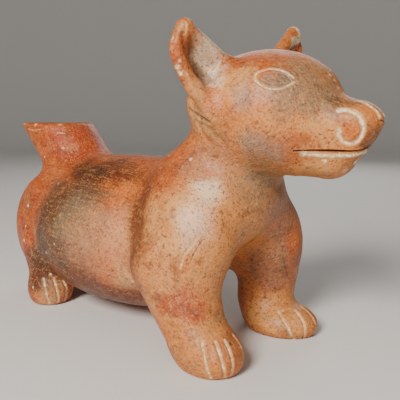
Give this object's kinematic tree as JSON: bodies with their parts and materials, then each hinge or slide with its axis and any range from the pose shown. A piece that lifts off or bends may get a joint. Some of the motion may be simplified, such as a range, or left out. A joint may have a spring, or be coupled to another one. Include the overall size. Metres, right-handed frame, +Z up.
{
  "type": "colima dog figure",
  "caption": "Plump standing dog effigy vessel in burnished red clay, with pricked ears, incised eyes and muzzle, grooved paws and an open spout for a tail.",
  "frame": {"origin": "on the floor under the middle of the figure's bounding box", "axes": "+X towards the nose, +Y to the dog's left, +Z up"},
  "size_m": [0.4018, 0.1606, 0.25],
  "materials": {
    "burnished_clay": "burnished red-orange slip on low-fired clay, semi-gloss, with grey fire clouds, dark specks and pale mineral deposits in the grooves"
  },
  "bodies": {
    "root": {"dog": "burnished_clay"}
  },
  "joints": []
}
